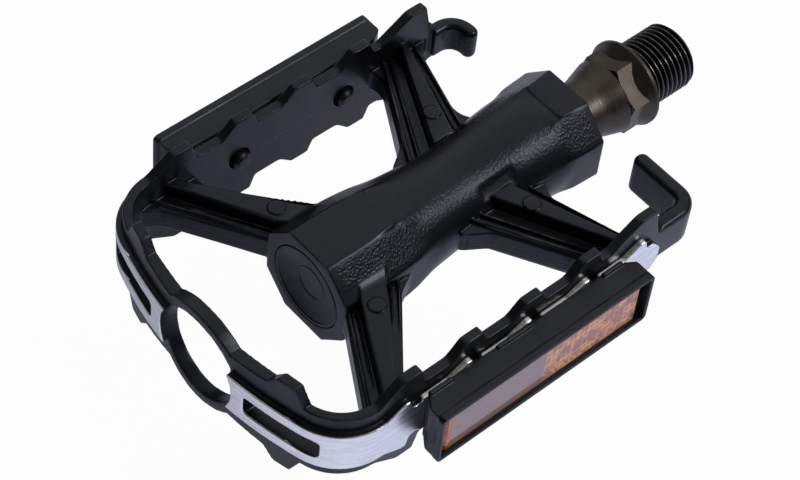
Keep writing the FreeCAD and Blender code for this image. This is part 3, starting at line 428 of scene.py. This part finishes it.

# %% [markdown]
# The tone of the paint drifts a little, edges that bend sharply are scuffed grey in patches, a grey that
# partly paints a highlight on them, and the band is bare metal.
# One mask turns base colour, metal and roughness over together, so the two finishes meet on one line.

# %% Colour and gloss of paint and band
cloud = paint.noise(60.0, 3.0)
edge_bend = paint.add("ShaderNodeAttribute", attribute_name="bend").outputs["Fac"]
patchy = paint.step(paint.noise(240.0, 4.0, 0.7), 0.42, 0.66)
# Grey on sharply bent edges: partly scuffed paint, partly a painted highlight along the edges.
wear_and_painted_glint = paint.math("MULTIPLY", paint.math("MULTIPLY", paint.step(edge_bend, 0.7, 1.8), patchy), painted)
black = paint.colour(cloud, (0.0035, 0.0038, 0.0046), (0.007, 0.0075, 0.0088))
black = paint.colour(paint.math("MULTIPLY", wear_and_painted_glint, 0.6), black, (0.1, 0.1, 0.104))
black = paint.colour(parting, black, (0.001, 0.001, 0.0015))
silver = paint.colour(paint.step(brushed, 0.32, 0.68), (0.66, 0.65, 0.63), (1.0, 0.99, 0.96))
painted_rough = paint.step(cloud, 0.3, 0.7, 0.27, 0.37)
ground_rough = paint.step(brushed, 0.3, 0.7, 0.26, 0.4)
rough = paint.math(
    "ADD",
    paint.math("MULTIPLY", painted, painted_rough),
    paint.math("MULTIPLY", bright, ground_rough),
)
painted_casting = paint.feed(
    Base_Color=paint.colour(bright, black, silver), Metallic=bright, Roughness=rough, Normal=skin
)
body_piece.data.materials.append(painted_casting)
print("painted casting nodes:", len(paint.tree.nodes))

# %% [markdown]
# ## The spindle
# A pedal spindle is turned from one steel bar:
# pedal thread, flange, spanner hexagon, flared neck and inner shaft.
# Booleans of a helix with a cylinder are slow and leave poor meshes.
# All of it can be one radius that depends on the station along Y and the angle round it,
# so one grid carries the thread, the hexagon and the turned steps.

# %% One radius function for thread, flange, hexagon and shaft
PITCH = 25.4 / 20
THREAD_RADIUS, THREAD_LENGTH = 7.14, 12.8
HEX_HALF, HEX_TURN = 7.5, 10.7
columns = 192
angles = np.radians(HEX_TURN) + np.arange(columns) * 2 * np.pi / columns

turned_profile = [
    (-0.0, 9.15), (-0.3, 9.45), (-0.9, 9.45), (-3.5, HEX_HALF), (-6.6, HEX_HALF), (-6.62, 7.3), (-6.8, 7.3),
    (-6.82, 8.05), (-10.07, 7.14), (-11.32, 6.75), (-12.35, 6.6), (-22.1, 6.6), (-24.45, 4.266),
    (-62.0, 4.0), (-62.02, 3.5), (-80.0, 3.5), (-80.6, 2.9),
]
profile_at = np.array([point[0] for point in turned_profile])
profile_radius = np.array([point[1] for point in turned_profile])
thread_rows = np.arange(THREAD_LENGTH, 0.0, -0.085)
hex_rows = np.arange(-0.95, -6.6, -0.07)
stations = np.unique(np.concatenate([thread_rows, [0.001], hex_rows, profile_at]))[::-1]


def thread_depth(phase):
    """Depth below the crest: a triangle wave of the phase, with flat crests and rounded roots."""
    wave = np.abs(2 * (phase - np.floor(phase)) - 1)
    return 0.72 * np.clip((wave - 0.12) / 0.8, 0, 1)


def spindle_radius(station, angle):
    """Thread above the flange; below it the larger of the turned profile and the chamfered hexagon."""
    turned = np.interp(-station, -profile_at, profile_radius)
    from_flat = (np.degrees(angle) - HEX_TURN) % 60 - 30
    flats = HEX_HALF / np.cos(np.radians(from_flat))
    blank = np.interp(-station, [0.9, 5.75, 6.6, 6.61], [9.4, 9.4, 7.75, 0.0])
    hexagon = np.minimum(flats, blank)
    below = np.maximum(turned, hexagon * (station < -0.9))
    phase = station / PITCH - angle / (2 * np.pi)
    fade = np.clip((station - 0.5) / 0.8, 0, 1)
    thread = THREAD_RADIUS - thread_depth(phase) * fade - 0.5 * np.clip(1 - station / 0.6, 0, 1)
    chamfer = THREAD_RADIUS - np.clip(station - (THREAD_LENGTH - 0.9), 0, 1)
    return np.where(station > 0, np.minimum(thread, chamfer), below)


radii = spindle_radius(stations[:, None], angles[None, :])
spindle_piece = revolved(
    "turned_spindle", stations, radii, angles, "spindle", "spindle_steel", "spindle", sharp=28.0
)
print("thread turns:", round(THREAD_LENGTH / PITCH, 1))

# %% [markdown]
# ## Dark turned steel
# The spindle has a dark grey-brown oxide with fine rings left by the lathe.
# The rings are noise that changes fast along Y and not at all round it.
# The crests of the thread are scuffed bright and also carry a painted highlight, and the roots carry
# painted shade; both follow from the distance to the axis.

# %% Oxide, lathe rings, bright crests with a painted highlight and painted shade in the roots
steel = Recipe("dark_turned_steel", Metallic=1.0)
x, y, z = steel.axes()
radius = steel.length(x, z)
rings = steel.noise(1.0, 3.0, 0.6, vector=steel.stretched(120.0, 5200.0, 120.0))
stain = steel.noise(330.0, 3.0)
oxide = steel.colour(stain, (0.036, 0.031, 0.026), (0.088, 0.076, 0.062))
on_thread = steel.math("GREATER_THAN", y, 0.0)
# Bright crests: partly scuffed metal, partly a painted highlight.
crest = steel.math("MULTIPLY", on_thread, steel.step(radius, 7.02 * MM, 7.12 * MM))
# Painted shade: the roots of the thread are darkened.
painted_root_shade = steel.math("MULTIPLY", on_thread, steel.step(radius, 7.06 * MM, 6.85 * MM))
tone = steel.colour(painted_root_shade, oxide, (0.012, 0.012, 0.013))
tone = steel.colour(crest, tone, (0.13, 0.13, 0.133))
dark_turned_steel = steel.feed(
    Base_Color=tone,
    Roughness=steel.step(rings, 0.25, 0.75, 0.32, 0.5),
    Normal=steel.bump(rings, 0.00001, 0.6),
)
spindle_piece.data.materials.append(dark_turned_steel)
print("steel nodes:", len(steel.tree.nodes))

# %% [markdown]
# ## The dust cap
# The barrel's outer end is closed by a dished plastic cap with a flat rim.
# It is a plain turned form, so a profile carried round the axis makes it.

# %% A dished cap turned round the axis
cap_profile = np.array([
    (-81.65, 7.9), (-81.65, 8.75), (-81.85, 8.95), (-84.4, 8.95), (-84.65, 8.72), (-84.65, 8.3),
    (-84.42, 8.16), (-84.3, 7.9), (-84.05, 7.3), (-83.75, 6.4), (-83.5, 5.3), (-83.35, 4.1),
    (-83.32, 3.95), (-83.42, 3.8),
    (-83.4, 3.6), (-83.25, 3.4), (-83.18, 1.7), (-83.15, 0.4),
])
cap_rows = np.linspace(0, len(cap_profile) - 1, 4 * (len(cap_profile) - 1) + 1)
order = np.arange(len(cap_profile))
cap_stations = np.interp(cap_rows, order, cap_profile[:, 0])
cap_radii = np.interp(cap_rows, order, cap_profile[:, 1])
CAP_COLUMNS = 96
cap_angles = np.arange(CAP_COLUMNS) * 2 * np.pi / CAP_COLUMNS
cap_table = np.broadcast_to(cap_radii[:, None], (len(cap_radii), CAP_COLUMNS))
cap_piece = revolved(
    "dished_dust_cap", cap_stations, cap_table, cap_angles, "pedal", "black_plastic", "dust_cap", sharp=40.0
)

# %% [markdown]
# ## Reflector housings
# Each housing is a black moulded tray whose two studs pass through the side plate.
# Its edges are soft like the casting's, so the same resampling is used with smaller cells.
# Fine mould ridges run along its top and bottom.
# A wave of the distance from the plate sinks the points between them.

# %% Soft-edged trays with mould ridges
RIDGE_FROM, RIDGE_TO, RIDGE_PITCH, RIDGE_DEPTH = 38.0, 40.2, 1.1, 0.1
TRAY_FLAT = 6.2
TRAY_CELL, TRAY_ROUNDS, TRAY_TRIANGLES = 0.17, 3, 60000


def ridged(mesh):
    """Top and bottom points sink by a wave of |X|: depth times (1 - |cos|) of the distance in ridges."""
    points, _ = points_of(mesh)
    out = np.abs(points[:, 0])
    flat = np.abs(points[:, 2]) > TRAY_FLAT
    inside = (out > RIDGE_FROM) & (out < RIDGE_TO)
    ridge = RIDGE_DEPTH * (1 - np.abs(np.cos(np.pi * (out - RIDGE_FROM) / RIDGE_PITCH)))
    points[:, 2] -= np.sign(points[:, 2]) * ridge * flat * inside
    mesh.vertices.foreach_set("co", (points * MM).ravel())
    mesh.update()
    return mesh


housing_pieces = []
for side in ("front", "rear"):
    node = side + "_reflector_housing"
    tray = ridged(rounded_copy(node, TRAY_CELL, TRAY_ROUNDS, TRAY_TRIANGLES))
    housing_pieces.append(place_mesh(side + "_tray", tray, "pedal", "black_plastic", node, sharp=180.0))

# %% [markdown]
# ## Black moulded plastic
# Moulded plastic is a little rougher than the paint and shows a faint blue sheen at grazing angles.
# A fine noise gives the spark-eroded mould surface and a slow one gives uneven gloss.

# %% Plastic for the trays and the cap
plastic = Recipe("moulded_plastic", Specular_IOR_Level=0.33, Specular_Tint=(0.82, 0.9, 1.0, 1.0))
erosion = plastic.noise(2600.0, 2.0)
uneven = plastic.noise(90.0, 2.0)
moulded_plastic = plastic.feed(
    Base_Color=plastic.colour(uneven, (0.003, 0.0034, 0.0044), (0.0055, 0.006, 0.0075)),
    Roughness=plastic.step(uneven, 0.3, 0.7, 0.36, 0.48),
    Normal=plastic.bump(erosion, 0.00001, 0.6),
)
for piece in (cap_piece, *housing_pieces):
    piece.data.materials.append(moulded_plastic)
print("pieces in moulded plastic:", 1 + len(housing_pieces))

# %% [markdown]
# ## Amber lenses
# A reflector lens is clear amber plastic with a smooth face, sloped ends and moulded prisms behind it.
# From above the half nearer the crank glitters and the other half mirrors the bright surroundings.
# The prisms are real facets here: small pyramids on a grid that catch the light.
# The finish in the next step paints on the light that their walls throw back, as colour and a faint glow.

# %% Lens slabs with a field of small pyramids
PRISM_PITCH, PRISM_DEPTH = 1.35, 0.2
END_LENGTH, END_SLOPE = 1.9, 0.55
LENS_ROWS, LENS_COLUMNS = 301, 81


def lens_sheet(side, low, high, rows, columns):
    """Face of a lens: flat, with sloped ends and pyramids on the half nearer the crank."""
    along = np.linspace(low[1], high[1], rows)[:, None] * np.ones((1, columns))
    up = np.linspace(low[2], high[2], columns)[None, :] * np.ones((rows, 1))
    to_end = np.minimum(along - low[1], high[1] - along)
    slope = np.clip(END_LENGTH - to_end, 0, END_LENGTH) * END_SLOPE
    middle = (low[1] + high[1]) / 2
    fold_along = np.abs((along / PRISM_PITCH) % 1 - 0.5)
    fold_up = np.abs((up / PRISM_PITCH) % 1 - 0.5)
    fold = np.maximum(fold_along, fold_up) * 2
    inside = (along > middle + 0.6) & (to_end > 2.2) & (np.abs(up) < high[2] - 0.7)
    depth = slope + PRISM_DEPTH * fold * inside
    outer = max(abs(low[0]), abs(high[0]))
    return np.stack([side * (outer - depth), along, up], axis=-1)


def lens_piece(name, node, side):
    """A closed slab: the face, a flat back on the same grid and a wall that joins their edges."""
    box = np.array([[float(v) / MM for v in corner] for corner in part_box(node)])
    rows, columns = LENS_ROWS, LENS_COLUMNS
    face = lens_sheet(side, box[0], box[1], rows, columns)
    back = face.copy()
    back[..., 0] = side * min(abs(box[0][0]), abs(box[1][0]))
    index = np.arange(rows * columns).reshape(rows, columns)
    rim = np.concatenate([index[0, :-1], index[:-1, -1], index[-1, :0:-1], index[:0:-1, 0]])
    shift = rows * columns
    front_faces = grid_faces(rows, columns, wrap=False)
    back_faces = front_faces[:, ::-1] + shift
    wall = np.stack([rim, rim + shift, np.roll(rim, -1) + shift, np.roll(rim, -1)], axis=-1)
    faces = np.vstack([front_faces, back_faces, wall])
    if side > 0:
        faces = faces[:, ::-1]
    points = np.vstack([face.reshape(-1, 3), back.reshape(-1, 3)])
    return put_piece(name, points, faces.tolist(), "pedal", "amber_lens", node, sharp=8.0)


lens_pieces = [
    lens_piece("front_lens", "front_reflector_lens", 1),
    lens_piece("rear_lens", "rear_reflector_lens", -1),
]

# %% [markdown]
# ## Amber plastic
# Clear amber over a dark tray looks dull mauve where it is smooth and mirrors its surroundings,
# and orange where the walls of a prism throw light back.
# Here both are painted: the mauve is partly a painted reflection, and the orange is painted light with a
# faint glow.
# The walls follow the grid of the pyramids, and a slow noise paints light on some of them and not others.
# The border has its own tone; the outer sloped end is painted as lit and the end nearer the crank as
# shaded.

# %% Amber tones by half, prism wall, border and end, with painted reflection, glints, glow and end light and shade
amber = Recipe("amber_plastic", Roughness=0.1, Specular_IOR_Level=0.5)
x, y, z = amber.axes()
crank_half = amber.step(y, -61.6 * MM, -60.6 * MM)
border = amber.step(amber.math("ABSOLUTE", z), 5.2 * MM, 5.5 * MM)


def to_wall(axis):
    """Distance from the middle of a prism along one axis, 0 at the middle and 1 at its wall."""
    turns = amber.math("FLOORED_MODULO", amber.math("DIVIDE", axis, PRISM_PITCH * MM), 1.0)
    return amber.math("MULTIPLY", amber.math("ABSOLUTE", amber.math("SUBTRACT", turns, 0.5)), 2.0)


wall = amber.math("MAXIMUM", to_wall(y), to_wall(z))
# Painted glints: a noise picks which prism walls are lit, and those walls get a bright orange.
painted_sparkle_pick = amber.step(amber.noise(420.0, 2.0), 0.4, 0.62)
painted_lit_wall = amber.math("MULTIPLY", amber.step(wall, 0.62, 0.95), painted_sparkle_pick)
# Mauve of the smooth half: partly the amber's own tone, partly a painted reflection of the surroundings.
amber_and_painted_reflection = amber.colour(amber.noise(300.0, 2.0), (0.26, 0.175, 0.185), (0.34, 0.225, 0.23))
# The prism half is painted brighter than the smooth half, as if lit by the light its prisms throw back.
painted_prism_tone = amber.colour(painted_sparkle_pick, (0.46, 0.23, 0.2), (0.66, 0.32, 0.25))
painted_glitter = amber.colour(painted_lit_wall, painted_prism_tone, (0.85, 0.4, 0.16))
tone = amber.colour(crank_half, amber_and_painted_reflection, painted_glitter)
tone = amber.colour(border, tone, (0.42, 0.14, 0.03))
# Painted light: the outer sloped end is coloured bright flickering orange as if lit through.
outer_end_glow_mask = amber.step(y, -84.4 * MM, -84.7 * MM)
inner_end_shade_mask = amber.step(y, -37.6 * MM, -36.8 * MM)
end_glow_flicker = amber.step(amber.noise(900.0, 2.0), 0.35, 0.65)
painted_end_glow = amber.colour(end_glow_flicker, (0.34, 0.055, 0.005), (0.8, 0.24, 0.03))
tone = amber.colour(outer_end_glow_mask, tone, painted_end_glow)
# Painted shade: the sloped end nearer the crank is coloured dark red.
tone = amber.colour(inner_end_shade_mask, tone, (0.09, 0.012, 0.005))
# Painted glow: the lit prism walls emit a little orange light, though the lens is no lamp.
painted_glow_share = amber.math("MULTIPLY", crank_half, painted_lit_wall)
amber.shader.inputs["Emission Color"].default_value = (1.0, 0.5, 0.2, 1.0)
amber_plastic = amber.feed(Base_Color=tone, Emission_Strength=amber.math("MULTIPLY", painted_glow_share, 0.12))
for piece in lens_pieces:
    piece.data.materials.append(amber_plastic)
print("amber nodes:", len(amber.tree.nodes))

# %% [markdown]
# ## Bearings and seal
# The cups, cone, washer, nut and balls sit inside the barrel, and their CAD shapes are right as they are.
# They take a ground bearing steel with fine scratches, and the seal takes a matt rubber.

# %% Finishes for the CAD nodes that stay
ground = Recipe("ground_bearing_steel", Metallic=1.0)
scratch = ground.noise(1.0, 2.0, vector=ground.stretched(700.0, 5000.0, 700.0))
ground_steel = ground.feed(
    Base_Color=ground.colour(scratch, (0.42, 0.42, 0.43), (0.62, 0.62, 0.63)),
    Roughness=ground.step(scratch, 0.3, 0.7, 0.2, 0.34),
    Normal=ground.bump(scratch, 0.00001, 0.5),
)
rubber = Recipe("seal_rubber", Specular_IOR_Level=0.3)
dust = rubber.noise(800.0, 3.0)
matt_rubber = rubber.feed(
    Base_Color=rubber.colour(dust, (0.008, 0.008, 0.008), (0.02, 0.02, 0.02)),
    Roughness=rubber.step(dust, 0.3, 0.7, 0.6, 0.8),
    Normal=rubber.bump(dust, 0.00002, 0.6),
)
steel_nodes = (
    "inner_cup", "outer_cup", "outer_cone", "lock_washer", "lock_nut", "inner_balls", "outer_balls"
)
finishes = {**dict.fromkeys(steel_nodes, ground_steel), "inner_seal": matt_rubber}
for node, finish in finishes.items():
    nodes[node].data.materials.clear()
    nodes[node].data.materials.append(finish)
print("CAD nodes with a finish:", len(finishes))

# %% [markdown]
# ## Floor, light and camera
# The pedal was photographed on white.
# The floor lies below the circle in which the pedal turns, so the cage never sinks into it.
# It looks white to the camera, and a small part of the plain lit floor stays mixed in, with its shadow.
# In a mirror it is lavender, because the upright faces of the black casting show that tint,
# and it carries a painted shadow in a strip under the pedal, where the real one shades its surroundings,
# and painted light that brightens away from it.

# %% A pale floor below the turning circle
turning_radius = math.hypot(cad_box[1][0], cad_box[1][2]) / MM
floor_z = -turning_radius - 0.5
FLOOR_REACH = 1500.0
floor_corners = ((-1, -1), (1, -1), (1, 1), (-1, 1))
floor_points = [(FLOOR_REACH * a, FLOOR_REACH * b, floor_z) for a, b in floor_corners]
floor_mesh = bpy.data.meshes.new("floor")
floor_mesh.from_pydata((np.array(floor_points) * MM).tolist(), [], [(0, 1, 2, 3)])
floor = bpy.data.objects.new("floor", floor_mesh)
bpy.context.scene.collection.objects.link(floor)
print("floor height in millimetres:", round(floor_z, 2))

# %% White for the camera, lavender in mirrors, with painted light and shadow
CAMERA_WHITE = 0.97
pale = Recipe("pale_floor", Roughness=0.9, Specular_IOR_Level=0.0, Base_Color=(0.84, 0.84, 0.92, 1.0))
rays = pale.add("ShaderNodeLightPath").outputs
mirrored = pale.math("MAXIMUM", rays["Is Glossy Ray"], rays["Is Transmission Ray"])
glow_colour = pale.colour(rays["Is Camera Ray"], (0.76, 0.79, 1.0), (1.0, 1.0, 1.0))
glow = pale.add("ShaderNodeEmission", {"Color": glow_colour, "Strength": 1.0}).outputs["Emission"]
across = pale.axes()[0]
# Painted light and shadow: mirrors see the floor dim in a strip under the pedal and brighter away from it.
painted_light_and_shadow = pale.math(
    "MAXIMUM",
    pale.step(across, -48.0 * MM, 72.0 * MM, 0.24, 1.0),
    pale.step(across, -150.0 * MM, -90.0 * MM, 0.9, 0.0),
)
seen = pale.math("MULTIPLY", rays["Is Camera Ray"], CAMERA_WHITE)
share = pale.math("MAXIMUM", seen, pale.math("MULTIPLY", mirrored, painted_light_and_shadow))
blend = pale.add("ShaderNodeMixShader", {0: share, 1: pale.shader.outputs["BSDF"], 2: glow})
output = pale.tree.nodes["Material Output"]
pale.tree.links.new(blend.outputs["Shader"], output.inputs["Surface"])
floor_mesh.materials.append(pale.material)
print("floor nodes:", len(pale.tree.nodes))

# %% [markdown]
# A small bright softbox gives the crisp highlight along the barrel.
# A wide panel stands where flat tops mirror it to the camera, so they read as satin and not as holes.
# A faint even sky fills the rest.

# %% An even sky and two softboxes
SKY_LEVEL = 0.12
world = bpy.data.worlds.new("studio")
bpy.context.scene.world = world
world.use_nodes = True
sky = world.node_tree.nodes["Background"]
path = world.node_tree.nodes.new("ShaderNodeLightPath")
level = world.node_tree.nodes.new("ShaderNodeMapRange")
level.inputs["To Min"].default_value = SKY_LEVEL
level.inputs["To Max"].default_value = 1.0
world.node_tree.links.new(path.outputs["Is Camera Ray"], level.inputs["Value"])
world.node_tree.links.new(level.outputs["Result"], sky.inputs["Strength"])
sky.inputs["Color"].default_value = (1.0, 1.0, 1.0, 1.0)


def softbox(name, towards, distance, width, height, power):
    """A rectangular lamp at a distance in metres along a direction, turned to face the pedal's middle."""
    middle = np.array([0.0, -0.05, 0.0])
    back = np.array(towards, float) / np.linalg.norm(towards)
    right = np.cross([0.0, 0.0, 1.0], back)
    right = right / np.linalg.norm(right)
    up = np.cross(back, right)
    lamp = bpy.data.lights.new(name, "AREA")
    lamp.shape = "RECTANGLE"
    lamp.size, lamp.size_y, lamp.energy = width, height, power
    holder = bpy.data.objects.new(name, lamp)
    place = np.eye(4)
    place[:3, 0], place[:3, 1], place[:3, 2] = right, up, back
    place[:3, 3] = middle + back * distance
    holder.matrix_world = Matrix(place.tolist())
    bpy.context.scene.collection.objects.link(holder)


softbox("key_softbox", (0.57, 0.453, 0.68), 0.7, 0.2, 0.2, 2.2)
softbox("overhead_panel", (-0.4257, 0.4533, 0.783), 1.0, 1.4, 1.4, 4.9)
print("lamps:", [item.name for item in bpy.data.lights])

# %% [markdown]
# The camera was fitted to the photograph, with the standard thread diameter as the known length.
# Its place, three angles and focal length in pixels describe it fully.

# %% The camera that took the photograph
CAMERA_AT = np.array([210.08, -284.385, 382.18]) * MM
AZIMUTH, ELEVATION, ROLL = np.radians([43.19, 51.562, 7.135])
FOCAL_PIXELS, IMAGE_WIDTH, SENSOR = 2563.7, 800, 36.0
back = np.array([
    np.sin(AZIMUTH) * np.cos(ELEVATION), -np.cos(AZIMUTH) * np.cos(ELEVATION), np.sin(ELEVATION)
])
level_right = np.array([np.cos(AZIMUTH), np.sin(AZIMUTH), 0.0])
level_up = np.cross(back, level_right)
right = np.cos(ROLL) * level_right + np.sin(ROLL) * level_up
up = np.cross(back, right)
camera_data = bpy.data.cameras.new("photo_camera")
camera_data.sensor_width = SENSOR
camera_data.lens = FOCAL_PIXELS * SENSOR / IMAGE_WIDTH
camera_data.clip_start = 0.01
camera = bpy.data.objects.new("photo_camera", camera_data)
pose = np.eye(4)
pose[:3, 0], pose[:3, 1], pose[:3, 2], pose[:3, 3] = right, up, back, CAMERA_AT
camera.matrix_world = Matrix(pose.tolist())
bpy.context.scene.collection.objects.link(camera)
bpy.context.scene.camera = camera
bpy.context.scene.view_settings.view_transform = "Standard"
print("lens in millimetres:", round(camera_data.lens, 2))
